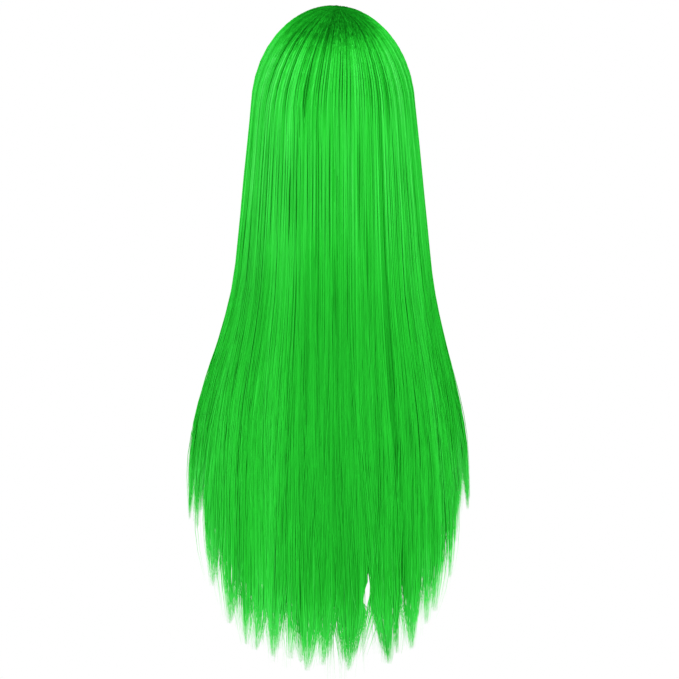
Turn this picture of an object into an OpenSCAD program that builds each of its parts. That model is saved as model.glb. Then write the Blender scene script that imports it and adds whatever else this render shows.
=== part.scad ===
// Long straight costume wig: a machine-made stretch cap, its sewn wefts and its hair.
// +Z is up and the face looks towards -Y. The wearer's left is +X. The origin is the centre of
// the head opening, level with the top of the ears. Angles called phi turn about the vertical
// from the back (0) by the wearer's left (90) to the face (180).

/* [Cap] */
// Half of the cap's width inside, ear to ear
cap_rx = 77; // [72:0.5:80]
// Half of the cap's length inside, forehead to back
cap_ry = 98.5; // [94:0.5:101]
// Height of the cap's inside above the ears
cap_rz = 107; // [100:0.5:110]
// Thickness of the stretch net
net_t = 0.8; // [0.5:0.1:0.8]
// Height of the hairline above the ears, at the forehead
hairline_z = 50; // [44:1:56]
// Height of the cap's edge over the ears
ear_z = 6; // [2:1:10]
// Depth of the cap's edge below the ears, at the nape
nape_z = 62; // [58:1:66]

/* [Hair] */
// Height of the hair's top above the ears
hair_top = 122; // [118:1:130]
// Length of the hair below the ears, at its longest tips
hair_drop = 657; // [500:1:750]
// Half of the hair's width at the ears
hair_half = 97; // [94:1:105]
// Depth of the hair's outside behind the ears
hair_back = 116; // [114:1:122]
// Thickness of the hanging hair
hair_t = 14; // [8:1:14]
// How much the hair widens for each millimetre that it falls
flare = 0.10; // [0.02:0.01:0.15]
// How much more it fans out beside the shoulders
spread = 25; // [0:1:30]
// How much the ends turn in again below the shoulders
tuck = 20; // [0:1:30]
// Height of the layered points along the hem
point_h = 26; // [0:1:40]

/* [Wefts] */
// Number of sewn weft rows on the back of the cap
weft_rows = 10; // [6:1:10]
// Height between two weft rows
weft_pitch = 13; // [11:0.5:13]
// Height of a weft's sewn heading
weft_h = 3; // [2:0.5:4]
// Thickness of a weft's sewn heading
weft_t = 1.6; // [1:0.1:1.6]
// Turns of the coiled weft at the whorl
whorl_turns = 3; // [2:1:4]

/* [Straps] */
// Height of an elastic adjuster strap
strap_h = 10; // [8:1:11]
// Thickness of an adjuster strap
strap_t = 0.8; // [0.6:0.1:0.8]

/* [Hidden] */

// Finishes
net_black = [0.07, 0.07, 0.08];
elastic_black = [0.12, 0.12, 0.13];
ribbon_black = [0.16, 0.16, 0.17];
plastic_black = [0.05, 0.05, 0.05];
label_white = [0.92, 0.92, 0.90];
weft_green = [0.05, 0.50, 0.08];
hair_green = [0.16, 0.74, 0.20];
hair_dark = [0.10, 0.62, 0.14];

// Layers of the cap, as distances out from its inside
seam_gap = 0.7;      // between a band and the net it is sewn to
band_t = 0.9;        // elastic bands and ribbons, inside the net
weft_in = net_t + 0.2;
hair_in = weft_in + weft_t + 1.4;

// The hair's joints with the cap
joint_z = -72;       // height of the hinges at the nape and beside the jaw
joint_gap = 10;      // from the hinges up to the fixed hair
back_side_phi = 70;  // where the back hair ends
side_phi = 72;       // where the side hair starts
face_phi = 125;      // where the side hair ends, at the face
fringe_phi = 150;    // where the fringe starts
fringe_z = 44;       // height of the fringe's hinge

function smooth(t) = let (u = min(max(t, 0), 1)) u * u * (3 - 2 * u);
function mix(a, b, t) = a + (b - a) * t;
function steps(a, b, n) = [for (i = [0 : n]) mix(a, b, i / n)];

// ---- The cap's form -------------------------------------------------------------------------

// A point on the cap: theta is counted from the crown, off is the distance out from the inside
function cap_at(phi, theta, off) = [
    (cap_rx + off) * sin(theta) * sin(phi),
    (cap_ry + off) * sin(theta) * cos(phi),
    (cap_rz + off) * cos(theta)
];

// The angle from the crown at which the cap has a height
function cap_theta(z) = acos(z / cap_rz);

// The height of the cap's edge: low at the nape, up over the ears, and high at the forehead
function edge_z(phi) = let (turn = abs(phi > 180 ? phi - 360 : phi))
    mix(-nape_z, ear_z, smooth((turn - 45) / 43))
    + (hairline_z - ear_z) * smooth((turn - 118) / 47);

// ---- Closed shells between two grids of points ------------------------------------------------

function quad(a, b, c, d) = [[a, c, b], [a, d, c]];

// A sheet with four edges. Its grids have a row for each height, from the top down.
module sheet(outer, inner) {
    rows = len(outer);
    cols = len(outer[0]);
    size = rows * cols;
    last = cols - 1;
    low = (rows - 1) * cols;
    skins = [
        for (i = [0 : rows - 2], j = [0 : cols - 2])
            let (a = i * cols + j)
            each concat(
                quad(a, a + 1, a + cols + 1, a + cols),
                quad(size + a, size + a + cols, size + a + cols + 1, size + a + 1)
            )
    ];
    ends = [
        for (i = [0 : rows - 2])
            let (a = i * cols)
            each concat(
                quad(a, a + cols, size + a + cols, size + a),
                quad(a + last, size + a + last, size + a + cols + last, a + cols + last)
            )
    ];
    rims = [
        for (j = [0 : cols - 2])
            each concat(
                quad(j, size + j, size + j + 1, j + 1),
                quad(low + j, low + j + 1, size + low + j + 1, size + low + j)
            )
    ];
    polyhedron([for (grid = [outer, inner]) for (row = grid) each row],
        concat(skins, ends, rims), convexity = 6);
}

// A dome that closes round the crown. Its columns wrap, and each skin has one point at the top.
module dome(outer, inner, outer_top, inner_top) {
    rows = len(outer);
    cols = len(outer[0]);
    size = rows * cols;
    low = (rows - 1) * cols;
    tops = 2 * size;
    skins = [
        for (i = [0 : rows - 2], j = [0 : cols - 1])
            let (a = i * cols + j, b = i * cols + (j + 1) % cols)
            each concat(
                quad(a, b, b + cols, a + cols),
                quad(size + a, size + a + cols, size + b + cols, size + b)
            )
    ];
    caps = [
        for (j = [0 : cols - 1])
            let (k = (j + 1) % cols)
            each [[tops, j, k], [tops + 1, size + k, size + j]]
    ];
    rim = [
        for (j = [0 : cols - 1])
            let (k = (j + 1) % cols)
            each quad(low + j, low + k, size + low + k, size + low + j)
    ];
    points = [for (grid = [outer, inner]) for (row = grid) each row];
    polyhedron(concat(points, [outer_top, inner_top]), concat(skins, caps, rim), convexity = 6);
}

// A strip on the cap, for each phi in turns, from_theta and to_theta being its top and bottom
module cap_strip(turns, tops, bottoms, off_in, off_out, rows = 2) {
    grid = [
        for (off = [off_out, off_in]) [
            for (i = [0 : rows]) [
                for (j = [0 : len(turns) - 1])
                    cap_at(turns[j], mix(tops[j], bottoms[j], i / rows), off)
            ]
        ]
    ];
    sheet(grid[0], grid[1]);
}

// ---- The cap ------------------------------------------------------------------------------------

cap_turns = [for (phi = [0 : 5 : 355]) phi];
cap_rings = 15;

module cap_net() {
    grid = [
        for (off = [net_t, 0]) [
            for (i = [1 : cap_rings]) [
                for (phi = cap_turns) cap_at(phi, cap_theta(edge_z(phi)) * i / cap_rings, off)
            ]
        ]
    ];
    color(net_black)
        dome(grid[0], grid[1], [0, 0, cap_rz + net_t], [0, 0, cap_rz]);
}

// An elastic band sewn inside the cap's edge
module edge_band(turns, width) {
    bottoms = [for (phi = turns) cap_theta(edge_z(phi) + 0.5)];
    tops = [for (phi = turns) cap_theta(edge_z(phi) + width)];
    color(elastic_black)
        cap_strip(turns, tops, bottoms, -seam_gap - band_t, -seam_gap);
}

module front_band() edge_band([for (phi = [125 : 5 : 235]) phi], 20);

module side_band() edge_band([for (phi = [65 : 5 : 120]) phi], 9);

// A lace ribbon that runs down the cap at one phi
module ribbon(phi, width, top_theta, low_z) {
    turns = [for (side = [-1 : 0.5 : 1]) side * width / 2];
    low = cap_theta(low_z);
    rows = 8;
    grid = [
        for (off = [-seam_gap, -seam_gap - band_t]) [
            for (i = [0 : rows])
                let (theta = mix(top_theta, low, i / rows))
                [
                    for (w = turns)
                        cap_at(phi + w / (cap_rx * sin(theta)) * 180 / PI, theta, off)
                ]
        ]
    ];
    color(ribbon_black)
        sheet(grid[0], grid[1]);
}

ribbon_w = 14;
ribbon_top = 17;
side_ribbon_low = ear_z + 12;

module ribbon_front() ribbon(180, ribbon_w, ribbon_top, hairline_z + 22);

module ribbon_back() ribbon(0, ribbon_w, ribbon_top, -nape_z + 25);

module ribbon_back_side() ribbon(38, ribbon_w, ribbon_top + 10, -nape_z + 25);

module ribbon_side() ribbon(90, ribbon_w, ribbon_top, side_ribbon_low);

// ---- The crown, where the hair whorls -------------------------------------------------------

whorl_x = -8;
whorl_y = 34;
patch_r = 24;

// A point on the cap above a place in plan
function cap_over(x, y, off) = [
    x,
    y,
    (cap_rz + off) * sqrt(1 - pow(x / (cap_rx + off), 2) - pow(y / (cap_ry + off), 2))
];

function patch_ring(r, off) = [
    for (turn = [0 : 15 : 345]) cap_over(whorl_x + r * sin(turn), whorl_y + r * cos(turn), off)
];

module crown_patch() {
    off = net_t + 0.2;
    patch_t = 0.7;
    rings = [patch_r / 3, patch_r * 2 / 3, patch_r];
    color(weft_green)
        dome([for (r = rings) patch_ring(r, off + patch_t)], [for (r = rings) patch_ring(r, off)],
            cap_over(whorl_x, whorl_y, off + patch_t), cap_over(whorl_x, whorl_y, off));
}

// The weft that is coiled on the patch, from its outside turn to the whorl
module crown_weft() {
    off = net_t + 1.2;
    track_w = 2;
    track_h = 1;
    segments = 20 * whorl_turns;
    function spiral(i, r_off, up) =
        let (turn = 360 * whorl_turns * i / segments)
        let (r = mix(patch_r - 2, 4, i / segments) + r_off)
        cap_over(whorl_x + r * sin(turn), whorl_y + r * cos(turn), off + up);
    grid = [
        for (up = [track_h, 0]) [
            for (side = [-1, 1]) [for (i = [0 : segments]) spiral(i, side * track_w / 2, up)]
        ]
    ];
    color(weft_green)
        sheet(grid[0], grid[1]);
}

// ---- The wefts ------------------------------------------------------------------------------------

weft_low_z = -49;
weft_wide_phi = 112;

// The weft rows stop short of the cap's edge, which rises towards the ears
function weft_end(z) = z > ear_z ? weft_wide_phi : 42 + (z - weft_low_z) * 0.62;

module weft(n) {
    z = weft_low_z + weft_pitch * (weft_rows - n);
    far = weft_end(z);
    turns = steps(-far, far, 2 * ceil(far / 5));
    color(weft_green)
        cap_strip(turns, [for (t = turns) cap_theta(z + weft_h)], [for (t = turns) cap_theta(z)],
            weft_in, weft_in + weft_t, rows = 1);
}

// ---- The ear tabs -----------------------------------------------------------------------------------

tab_x = 71;
tab_y = -37;
tab_turn = 18;       // from straight fore and aft
tab_top_z = 2;       // height of the line that the tab bends about
tab_w = 30;
tab_h = 34;
tab_t = 1.2;
stay_w = 3;
stay_t = 0.8;

// Places a shape drawn in the tab's own plane: across it, then up from its bending line
module at_ear_tab() {
    translate([tab_x, tab_y, tab_top_z])
        rotate([0, 0, -tab_turn])
            rotate([90, 0, 90])
                children();
}

module ear_tab() {
    tip_r = 7;
    tip_y = tip_r - tab_h;
    color(elastic_black)
        at_ear_tab()
            linear_extrude(tab_t)
                union() {
                    polygon([
                        [-tab_w / 2, 0], [-tip_r, tip_y], [0, tip_y - tip_r / 2],
                        [tip_r, tip_y], [tab_w / 2, 0]
                    ]);
                    translate([0, tip_y])
                        circle(r = tip_r, $fn = 48);
                }
}

// The bendable stay, sewn along the middle of the tab's inner face
module ear_stay() {
    stay_h = tab_h - 8;
    color(plastic_black)
        at_ear_tab()
            translate([0, 0, -stay_t - 0.1])
                linear_extrude(stay_t)
                    union() {
                        translate([-stay_w / 2, -stay_h])
                            square([stay_w, stay_h - 3]);
                        translate([0, -stay_h])
                            circle(d = stay_w, $fn = 32);
                        translate([0, -3])
                            circle(d = stay_w, $fn = 32);
                    }
}

// ---- The nape: a band on a cone, and the adjusters that slide round it ---------------------

nape_y = 29;         // the cone's vertical axis
nape_low_z = -61;
nape_band_h = 21;
nape_low_r = 51.3;
nape_slope = 0.46;   // how much the cone widens for each millimetre up
band_half_phi = 48;

strap_z = nape_low_z + 5.5;
strap_from = 19;     // the strap's free end, towards the middle of the nape
strap_to = 60;
pad_in = 1.1;        // from the band's outside in to the loop pad, the tab and the strap
pad_t = 1;
tab_in = pad_in + pad_t + 0.4;
tab_tape_t = 0.8;
strap_in = tab_in + tab_tape_t + 0.05;

// A piece of the nape's cone, from one angle and height to others, inwards from its surface
module nape_piece(from, to, z_low, height, off, thick) {
    r_low = nape_low_r + nape_slope * (z_low - nape_low_z) - off;
    r_high = r_low + nape_slope * height;
    translate([0, nape_y, z_low])
        rotate([0, 0, 90 - to])
            rotate_extrude(angle = to - from, $fn = 180)
                polygon([
                    [r_low - thick, 0], [r_low, 0], [r_high, height], [r_high - thick, height]
                ]);
}

module nape_band() {
    color(elastic_black)
        nape_piece(-band_half_phi, band_half_phi, nape_low_z, nape_band_h, 0, 1);
}

module strap() {
    color(elastic_black)
        nape_piece(strap_from, strap_to, strap_z, strap_h, strap_in, strap_t);
}

// The hook tape sewn under the strap's free end
module strap_tab() {
    tab_phi = 12;
    color(plastic_black)
        nape_piece(strap_from, strap_from + tab_phi, strap_z + 0.5, strap_h - 1, tab_in,
            tab_tape_t);
}

// The soft loop pad that the tab presses on, wherever it is set
module loop_pad() {
    color(ribbon_black)
        nape_piece(2, strap_from + 13, strap_z - 1, strap_h + 2, pad_in, pad_t);
}

// The sewn sleeve that the strap slides out of
module strap_channel() {
    from = 36;
    to = 44;
    wall = 0.6;
    slack = 0.4;
    color(ribbon_black)
        difference() {
            nape_piece(from, to, strap_z - slack - wall, strap_h + 2 * (slack + wall), pad_in,
                strap_in - pad_in + strap_t + slack + wall);
            nape_piece(from - 1, to + 1, strap_z - slack, strap_h + 2 * slack, strap_in - slack,
                strap_t + 2 * slack);
        }
}

module care_label() {
    turns = steps(-9, 9, 4);
    off = -seam_gap - band_t - 0.5;
    color(label_white)
        cap_strip(turns, [for (t = turns) cap_theta(-8)], [for (t = turns) cap_theta(-28)],
            off - 0.4, off);
}

// ---- The hair's form --------------------------------------------------------------------------------

// How much wider the hanging hair is at a height below the ears, half its depth, and its middle
function hang_widen(z) =
    spread * smooth((-200 - z) / 190) - flare * z - tuck * smooth((-420 - z) / 250);
function hang_ry(z) = hair_back + 0.03 * z;
function hang_y(z) = -0.012 * z;

// A point in the hanging hair, inset from its outside. The middle of the back hangs straight
// down, and the sides widen.
function hang_at(phi, z, inset) = [
    (hair_half - inset + hang_widen(z) * abs(sin(phi))) * sin(phi),
    hang_y(z) + (hang_ry(z) - inset) * cos(phi),
    z
];

function crown_at(phi, theta, inner) = inner
    ? cap_at(phi, theta, hair_in)
    : [
        hair_half * sin(theta) * sin(phi),
        hair_back * sin(theta) * cos(phi),
        hair_top * cos(theta)
    ];

// The hair over the cap ends at the ears, a little higher at the temples, and above the fringe
temple_z = 10;
fringe_top_gap = 8;
function crown_low_z(phi) = let (turn = abs(phi > 180 ? phi - 360 : phi))
    turn < face_phi ? 0.2
    : turn < fringe_phi - 2 ? temple_z * (turn - face_phi) / (fringe_phi - 2 - face_phi) + 0.2
    : fringe_z + fringe_top_gap;

crown_turns = let (front = [125, 132, 140, 147, 149, 155, 161, 167, 174, 180])
    concat([for (phi = [0 : 6 : 120]) phi], front,
        [for (i = [len(front) - 2 : -1 : 0]) 360 - front[i]],
        [for (phi = [240 : 6 : 354]) phi]);

module crown_hair() {
    rings = 13;
    grid = [
        for (inner = [false, true]) [
            for (i = [1 : rings]) [
                for (phi = crown_turns)
                    let (height = inner ? cap_rz + hair_in : hair_top)
                    crown_at(phi, acos(crown_low_z(phi) / height) * i / rings, inner)
            ]
        ]
    ];
    color(hair_green)
        dome(grid[0], grid[1], [0, 0, hair_top], [0, 0, cap_rz + hair_in]);
}

// Hair that hangs from top_z to its hem, a thin sheet at its ends where thin_top and thin_hem say
module hanging_hair(turns, top_z, hem_z, rows, thin_top, thin_hem) {
    function height(i, j) = mix(top_z, hem_z[j], thin_top
        ? (i == 0 ? 0 : i == 1 ? 0.015 : mix(0.03, 1, (i - 2) / (rows - 2)))
        : i / rows);
    function thick(i) = hair_t
        * (thin_top && i == 0 ? 0.25 : 1)
        * (thin_hem ? mix(1, 0.2, smooth((i / rows - 0.35) / 0.65)) : 1);
    grid = [
        for (side = [-0.5, 0.5]) [
            for (i = [0 : rows]) [
                for (j = [0 : len(turns) - 1])
                    hang_at(turns[j], height(i, j), hair_t / 2 + side * thick(i))
            ]
        ]
    ];
    sheet(grid[0], grid[1]);
}

fixed_low_z = joint_z + joint_gap;
moving_top_z = joint_z + 6;

module back_hair() {
    turns = steps(-back_side_phi, back_side_phi, 14);
    color(hair_green)
        hanging_hair(turns, 0, [for (t = turns) fixed_low_z], 2, false, false);
}

module side_hair() {
    turns = steps(side_phi, face_phi, 5);
    color(hair_green)
        hanging_hair(turns, 0, [for (t = turns) fixed_low_z], 2, false, false);
}

// The back's hem is longest in the middle, and rises in layers towards the sides
side_hem_z = -480;
module back_length() {
    columns = 20;
    turns = steps(-back_side_phi, back_side_phi, columns);
    hems = [
        for (j = [0 : columns])
            mix(-hair_drop, side_hem_z, smooth((abs(turns[j]) - 28) / 44)) + (j % 2) * point_h
    ];
    color(hair_dark)
        hanging_hair(turns, moving_top_z, hems, 16, true, true);
}

// The side locks are shortest beside the shoulders, and a little longer again towards the face
module side_length() {
    columns = 8;
    turns = steps(side_phi, face_phi, columns);
    hems = [
        for (j = [0 : columns])
            -450 - 30 * smooth((90 - turns[j]) / 18) - 45 * smooth((turns[j] - 95) / 30)
            + (j % 2) * point_h
    ];
    color(hair_dark)
        hanging_hair(turns, moving_top_z, hems, 12, true, true);
}

// The fringe lies on the forehead, over the hair's rounded front
module fringe() {
    columns = 10;
    rows = 5;
    fringe_t = 9;
    low_z = -6;
    turns = steps(fringe_phi, 360 - fringe_phi, columns);
    function front(z) = sqrt(1 - pow(max(z, 0) / hair_top, 2));
    grid = [
        for (side = [-0.5, 0.5]) [
            for (i = [0 : rows]) [
                for (j = [0 : columns])
                    let (z = mix(fringe_z + 3, low_z + (j % 2) * 6, i / rows))
                    let (thick = fringe_t * (i == 0 ? 0.4 : mix(1, 0.3, smooth(i / rows))))
                    let (inset = fringe_t / 2 + side * thick)
                    [
                        (hair_half - inset) * front(z) * sin(turns[j]),
                        (hair_back - inset) * front(z) * cos(turns[j]),
                        z
                    ]
            ]
        ]
    ];
    color(hair_green)
        sheet(grid[0], grid[1]);
}

// ---- What is drawn ----------------------------------------------------------------------------------

module right() {
    mirror([1, 0, 0])
        children();
}

cap_net();
front_band();
side_band();  // side_band_left
right() side_band();  // side_band_right
nape_band();
ribbon_front();
ribbon_back();
ribbon_back_side();  // ribbon_back_left
right() ribbon_back_side();  // ribbon_back_right
ribbon_side();  // ribbon_side_left
right() ribbon_side();  // ribbon_side_right
crown_patch();
crown_weft();
for (n = [1 : weft_rows]) weft(n);
ear_tab();  // ear_tab_left
right() ear_tab();  // ear_tab_right
ear_stay();  // ear_stay_left
right() ear_stay();  // ear_stay_right
strap();  // strap_left
right() strap();  // strap_right
strap_tab();  // strap_tab_left
right() strap_tab();  // strap_tab_right
strap_channel();  // strap_channel_left
right() strap_channel();  // strap_channel_right
loop_pad();  // loop_pad_left
right() loop_pad();  // loop_pad_right
care_label();
crown_hair();
back_hair();
side_hair();  // side_hair_left
right() side_hair();  // side_hair_right
fringe();
back_length();
side_length();  // side_length_left
right() side_length();  // side_length_right
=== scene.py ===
import math

import bpy
import numpy as np
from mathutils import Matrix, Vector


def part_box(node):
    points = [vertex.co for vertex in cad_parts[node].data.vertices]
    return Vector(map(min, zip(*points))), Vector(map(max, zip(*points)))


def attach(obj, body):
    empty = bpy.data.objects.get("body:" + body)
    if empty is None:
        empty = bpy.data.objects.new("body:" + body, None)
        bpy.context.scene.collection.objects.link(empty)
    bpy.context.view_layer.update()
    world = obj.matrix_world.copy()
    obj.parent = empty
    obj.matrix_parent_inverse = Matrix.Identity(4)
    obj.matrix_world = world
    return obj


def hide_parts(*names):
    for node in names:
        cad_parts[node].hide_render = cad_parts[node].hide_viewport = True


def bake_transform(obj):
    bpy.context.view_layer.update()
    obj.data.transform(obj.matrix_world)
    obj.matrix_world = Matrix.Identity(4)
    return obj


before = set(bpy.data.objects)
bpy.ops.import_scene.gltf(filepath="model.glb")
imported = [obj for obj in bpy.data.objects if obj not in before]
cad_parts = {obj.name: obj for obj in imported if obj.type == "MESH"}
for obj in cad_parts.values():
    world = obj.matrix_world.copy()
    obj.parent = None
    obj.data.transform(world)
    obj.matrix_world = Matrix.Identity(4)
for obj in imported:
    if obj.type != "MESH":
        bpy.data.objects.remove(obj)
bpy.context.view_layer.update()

# ---- Sizes, in metres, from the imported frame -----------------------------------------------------
HALF, BACK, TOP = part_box("crown_hair")[1]    # the hair over the cap: half width, back and top
HEM_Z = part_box("back_length")[0][2]
net_low, net_high = (np.array(p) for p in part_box("cap_net"))
NET_T = 0.0008                      # how thick the net is
CAP = net_high - NET_T              # the cap's inside: half width, back and top
WHORL = np.array(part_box("crown_patch")).mean(0)[:2]    # where the hair starts, across and back
BACK_PHI = 71.0                     # where the back hair meets the side hair
FACE_PHI = 129.0                    # the side hair's edge beside the face
FRINGE_PHI = 145.0                  # the fringe's edge over the forehead


def smooth(t):
    t = np.clip(t, 0.0, 1.0)
    return t * t * (3 - 2 * t)


def mix(a, b, t):
    return a + (b - a) * t


def unit(vectors):
    return vectors / (np.linalg.norm(vectors, axis=-1, keepdims=True) + 1e-12)


# ---- Camera, light and floor ---------------------------------------------------------------------
SHOT_M = 0.800                      # what the frame takes in at the wig, side to side
SHOT_Y = 0.03                       # how far back the hair's outline is
SENSOR = 36
EYE = (-0.0075, 3.4, -0.2745)
FLOOR_R, FLOOR_DROP = 0.52, 0.085   # the floor's radius, and how far it is below the ends
LIGHTS = (                          # name, place, target, size and power
    ("key", (1.5, 2.2, 1.3), (0, 0, -0.20), (1.2, 1.6), 22),
    ("fill", (-1.7, 1.9, 0.6), (0, 0, -0.25), (1.2, 1.8), 16),
    ("front", (0.6, -2.2, 0.9), (0, 0, -0.20), (1.4, 1.4), 14),
)


def set_view():
    """Plain display colours: white stays white and the green stays saturated."""
    view = bpy.context.scene.view_settings
    view.view_transform = "Standard"
    view.look = "None"
    view.exposure = 0
    view.gamma = 1


def make_camera():
    data = bpy.data.cameras.new("camera")
    camera = bpy.data.objects.new("camera", data)
    bpy.context.scene.collection.objects.link(camera)
    data.sensor_width = SENSOR
    data.lens = SENSOR * (EYE[1] - SHOT_Y) / SHOT_M
    camera.location = EYE
    camera.rotation_euler = (math.radians(90), 0, math.radians(180))
    bpy.context.scene.camera = camera


def make_light(name, place, target, size, power):
    data = bpy.data.lights.new(name, "AREA")
    data.shape = "RECTANGLE"
    data.size, data.size_y = size
    data.energy = power
    light = bpy.data.objects.new(name, data)
    bpy.context.scene.collection.objects.link(light)
    light.location = place
    away = np.array(target, float) - np.array(place, float)
    yaw = math.atan2(away[0], -away[1])
    pitch = math.atan2(math.hypot(away[0], away[1]), -away[2])
    light.rotation_euler = (pitch, 0, yaw + math.pi)


def make_stage():
    world = bpy.data.worlds.new("studio")
    bpy.context.scene.world = world
    world.use_nodes = True
    world.node_tree.nodes["Background"].inputs["Color"].default_value = (1, 1, 1, 1)
    world.node_tree.nodes["Background"].inputs["Strength"].default_value = 1.0
    bpy.ops.mesh.primitive_circle_add(
        vertices=96, radius=FLOOR_R, fill_type="NGON", location=(0, 0, HEM_Z - FLOOR_DROP)
    )
    floor = bpy.context.object
    floor.name = "floor"
    floor.data.materials.append(plain_material("floor_white", (0.86, 0.86, 0.86), 0.6))
    for light in LIGHTS:
        make_light(*light)


# ---- Materials -----------------------------------------------------------------------------------
def new_material(name):
    material = bpy.data.materials.new(name)
    material.use_nodes = True
    return material, material.node_tree, material.node_tree.nodes["Principled BSDF"]


def plain_material(name, colour, roughness):
    material, _, shader = new_material(name)
    shader.inputs["Base Color"].default_value = (*colour, 1)
    shader.inputs["Roughness"].default_value = roughness
    return material


def add(tree, kind, **values):
    """A node with its properties and unlinked inputs set."""
    node = tree.nodes.new(kind)
    for key, value in values.items():
        if key in node.inputs:
            node.inputs[key].default_value = value
        else:
            setattr(node, key, value)
    return node


def ramp(tree, source, stops):
    """A colour ramp driven by source, through (place, colour) stops."""
    node = tree.nodes.new("ShaderNodeValToRGB")
    while len(node.color_ramp.elements) < len(stops):
        node.color_ramp.elements.new(0.5)
    for element, (place, colour) in zip(node.color_ramp.elements, stops):
        element.position = place
        element.color = (*colour, 1)
    tree.links.new(source, node.inputs["Fac"])
    return node


def fibre_noise(tree, place, scale):
    """Noise drawn out along Z into fibres."""
    stretch = add(tree, "ShaderNodeMapping", Scale=scale)
    tree.links.new(place.outputs["Object"], stretch.inputs["Vector"])
    fibres = add(tree, "ShaderNodeTexNoise", Scale=1.0, Detail=2.0)
    tree.links.new(stretch.outputs["Vector"], fibres.inputs["Vector"])
    return fibres.outputs["Fac"]


def surface(tree, shader, value, stops, roughness, strength, depth, height=None):
    """Colour by value, roughness, and a bump from the same value or from height."""
    colour = ramp(tree, value, stops)
    tree.links.new(colour.outputs["Color"], shader.inputs["Base Color"])
    shader.inputs["Roughness"].default_value = roughness
    bump = add(tree, "ShaderNodeBump", Strength=strength, Distance=depth)
    tree.links.new(value if height is None else height, bump.inputs["Height"])
    tree.links.new(bump.outputs["Normal"], shader.inputs["Normal"])


FIBRES = (2600, 2600, 45)           # the noise's scale: fine across a strand, long along it
FIBRE_VARY = 0.22                   # how much the fibres vary a strand's shade
WAVE = 0.314                        # a wave texture's period in metres, at a scale of 1
HAIR_STOPS = (
    (0.0, (0.0020, 0.105, 0.0040)), (0.3, (0.0080, 0.330, 0.0140)),
    (0.6, (0.0225, 0.600, 0.0345)), (0.9, (0.0500, 0.825, 0.0760)),
    (1.0, (0.0900, 0.910, 0.1250)),
)


def hair_material():
    """Glossy synthetic fibre: each strand's shade, which holds painted light and shade as well as its
    own tone, with finer fibres drawn along it.
    """
    material, tree, shader = new_material("hair_fibre")
    shade = add(tree, "ShaderNodeAttribute", attribute_name="shade")
    fibres = fibre_noise(tree, add(tree, "ShaderNodeTexCoord"), FIBRES)
    vary = add(tree, "ShaderNodeMath", operation="MULTIPLY_ADD")
    tree.links.new(fibres, vary.inputs[0])
    vary.inputs[1].default_value = FIBRE_VARY
    tree.links.new(shade.outputs["Fac"], vary.inputs[2])
    centred = add(tree, "ShaderNodeMath", operation="SUBTRACT")
    tree.links.new(vary.outputs["Value"], centred.inputs[0])
    centred.inputs[1].default_value = FIBRE_VARY / 2
    surface(tree, shader, centred.outputs["Value"], HAIR_STOPS, 0.48, 0.25, 0.0002, fibres)
    shader.inputs["Specular IOR Level"].default_value = 0.0
    shader.inputs["Specular Tint"].default_value = (0.35, 1.0, 0.40, 1)
    return material


def textured(name, kind, scale, stops, roughness, strength, depth, output="Fac", **values):
    """A material whose colour and bump both come from one texture in the object's space."""
    material, tree, shader = new_material(name)
    place = add(tree, "ShaderNodeTexCoord")
    texture = add(tree, kind, Scale=scale, **values)
    tree.links.new(place.outputs["Object"], texture.inputs["Vector"])
    surface(tree, shader, texture.outputs[output], stops, roughness, strength, depth)
    shader.inputs["Specular IOR Level"].default_value = 0.3
    return material


def yarn_material(name, dark, light):
    """Spun yarn or felt: fine mottled fibres."""
    stops = ((0.3, dark), (0.7, light))
    return textured(name, "ShaderNodeTexNoise", 1800, stops, 0.85, 0.5, 0.0002, Detail=4.0)


def ribbed_material(name, dark, light, rib):
    """Woven elastic, with ribs along its length a rib apart."""
    stops = ((0.2, dark), (0.8, light))
    return textured(
        name, "ShaderNodeTexWave", WAVE / rib, stops, 0.7, 0.8, 0.0003, bands_direction="Z",
        Distortion=0.6, Detail=2.0,
    )


def lace_material():
    """Lace ribbon: pale threads round small holes."""
    stops = (
        (0.03, (0.085, 0.085, 0.092)), (0.12, (0.030, 0.030, 0.034)),
        (0.20, (0.004, 0.004, 0.005)),
    )
    return textured(
        "lace", "ShaderNodeTexVoronoi", 420, stops, 0.8, 0.6, 0.0003, "Distance",
        feature="DISTANCE_TO_EDGE",
    )


def pile_material(name, scale, strength):
    """Hook or loop tape: rows of small hooks, or a soft looped pile."""
    stops = (
        (0.0, (0.070, 0.070, 0.076)), (0.5, (0.020, 0.020, 0.022)), (1.0, (0.006, 0.006, 0.007)),
    )
    return textured(
        name, "ShaderNodeTexVoronoi", scale, stops, 0.8, strength, 0.0004, "Distance",
        Randomness=0.35,
    )


def plastic_material():
    """The sleeve over the bendable stay."""
    stops = ((0.3, (0.010, 0.010, 0.011)), (0.7, (0.018, 0.018, 0.020)))
    return textured("stay_sleeve", "ShaderNodeTexNoise", 600, stops, 0.4, 0.1, 0.0001)


def label_material():
    """White satin with a fine weave."""
    stops = ((0.2, (0.62, 0.62, 0.59)), (0.8, (0.80, 0.80, 0.77)))
    return textured(
        "label_satin", "ShaderNodeTexWave", WAVE / 0.0005, stops, 0.45, 0.4, 0.0001,
        bands_direction="Z", Distortion=1.0,
    )


def weft_material():
    """A weft's sewn heading: hair lying side by side, crossed by two rows of thread."""
    material, tree, shader = new_material("weft_heading")
    place = add(tree, "ShaderNodeTexCoord")
    hairs = fibre_noise(tree, place, (1500, 1500, 60))
    thread = add(
        tree, "ShaderNodeTexWave", Scale=WAVE / 0.0015, Distortion=0.4, bands_direction="Z"
    )
    tree.links.new(place.outputs["Object"], thread.inputs["Vector"])
    both = add(tree, "ShaderNodeMath", operation="MULTIPLY")
    tree.links.new(hairs, both.inputs[0])
    tree.links.new(thread.outputs["Fac"], both.inputs[1])
    stops = (
        (0.05, (0.003, 0.120, 0.006)), (0.35, (0.008, 0.300, 0.014)),
        (0.70, (0.040, 0.520, 0.060)),
    )
    surface(tree, shader, both.outputs["Value"], stops, 0.6, 0.6, 0.0003)
    return material


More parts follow.
